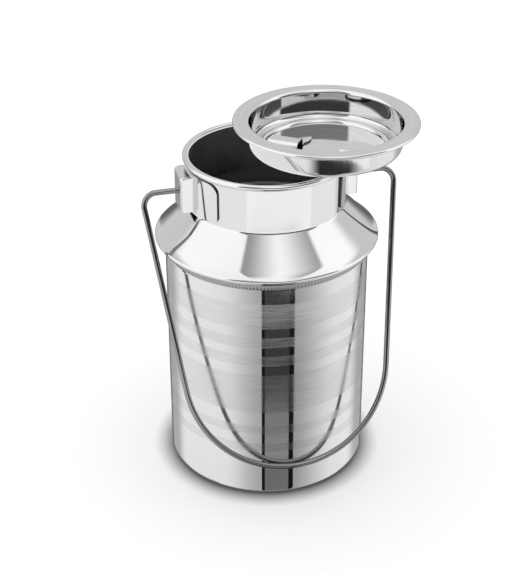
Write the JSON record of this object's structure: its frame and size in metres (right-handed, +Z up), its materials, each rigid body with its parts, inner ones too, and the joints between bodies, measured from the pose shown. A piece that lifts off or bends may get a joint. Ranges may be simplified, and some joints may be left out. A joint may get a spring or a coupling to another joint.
{
  "type": "milk can",
  "caption": "Steel milk can with necked collar, swinging wire bail in two welded ears, and a loose dished lid resting askew on the mouth.",
  "frame": {"origin": "middle of the base, on the surface that the can stands on", "axes": "+Z up along the can's axis, X along the bail's pivot axis, -Y towards the front, where the bail hangs"},
  "size_m": [0.1688, 0.137, 0.2273],
  "materials": {
    "body_steel": "mirror and satin bands",
    "mirror_steel": "polished",
    "wire_steel": "polished",
    "weld_steel": "plain"
  },
  "bodies": {
    "can": {"body_shell": "body_steel", "shoulder_collar": "mirror_steel", "mouth_rim_wire": "wire_steel", "seam_weld": "weld_steel", "left_ear": "mirror_steel", "right_ear": "mirror_steel", "left_ear_welds": "weld_steel", "right_ear_welds": "weld_steel"},
    "bail": {"bail_wire": "wire_steel"},
    "lid": {"lid_pan": "mirror_steel", "left_lid_lug": "mirror_steel", "right_lid_lug": "mirror_steel", "lid_lug_welds": "weld_steel"}
  },
  "joints": [
    {"name": "bail_swing", "type": "hinge", "parent": "can", "child": "bail", "pos_m": [0, 0, 0.189], "axis": [-1, 0, 0], "range_deg": [0, 100]},
    {"name": "lid_lift", "type": "slide", "parent": "can", "child": "lid", "axis": [0, 0, 1], "range_m": [0, 0.12]}
  ]
}
